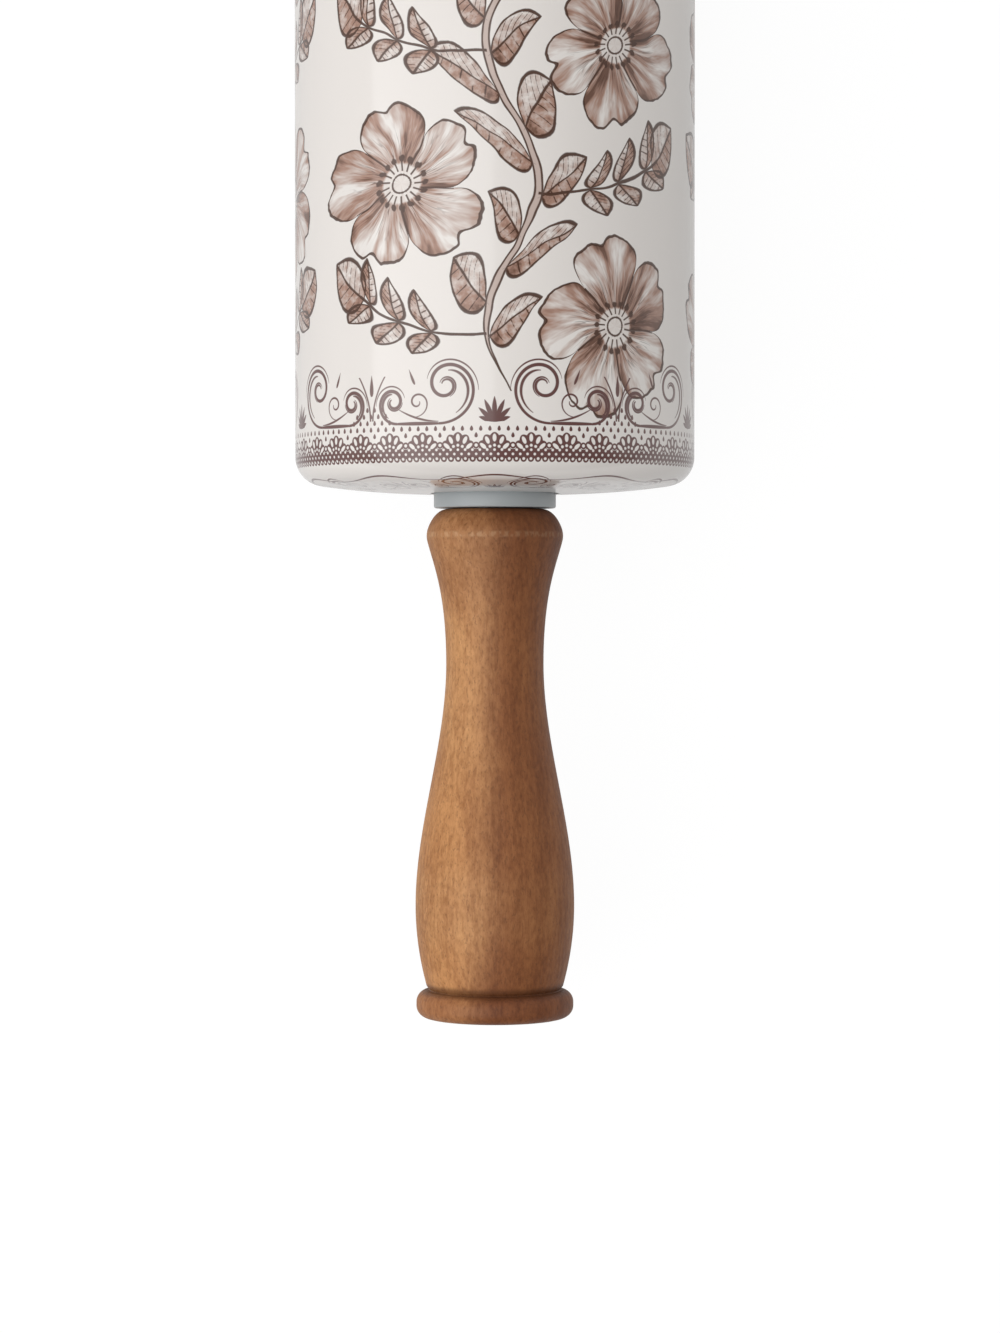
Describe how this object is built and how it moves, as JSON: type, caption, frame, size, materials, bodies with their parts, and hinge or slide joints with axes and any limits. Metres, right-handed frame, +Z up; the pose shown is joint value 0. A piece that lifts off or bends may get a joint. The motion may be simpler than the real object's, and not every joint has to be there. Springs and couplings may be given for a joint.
{
  "type": "rolling pin",
  "caption": "Hollow glazed ceramic barrel with a printed floral pattern, turning on a steel axle between turned wooden handles, for rolling out dough.",
  "frame": {"origin": "centre of the barrel, on its axis", "axes": "+X along the axle towards the right handle, +Y the way the pin rolls, +Z up from the surface it lies on"},
  "size_m": [0.424, 0.0698, 0.0698],
  "materials": {
    "glaze": "glossy white glaze with a sepia print under it",
    "axle_steel": "ground bright steel",
    "grey_plastic": "satin grey plastic",
    "silicone": "matt translucent grey silicone",
    "washer_steel": "plain stamped steel",
    "insert_brass": "turned brass",
    "handle_wood": "stained and satin-varnished turned wood"
  },
  "bodies": {
    "handles": {"axle_rod": "axle_steel", "handle_left": "handle_wood", "handle_right": "handle_wood", "handle_insert_left": "insert_brass", "handle_insert_right": "insert_brass", "wear_washer_left": "washer_steel", "wear_washer_right": "washer_steel"},
    "barrel": {"barrel": "glaze", "end_bush_left": "grey_plastic", "end_bush_right": "grey_plastic", "bush_grommet_left": "silicone", "bush_grommet_right": "silicone"}
  },
  "joints": [
    {"name": "barrel_spin", "type": "hinge", "parent": "handles", "child": "barrel", "pos_m": [0, 0, 0], "axis": [1, 0, 0], "continuous": true}
  ]
}
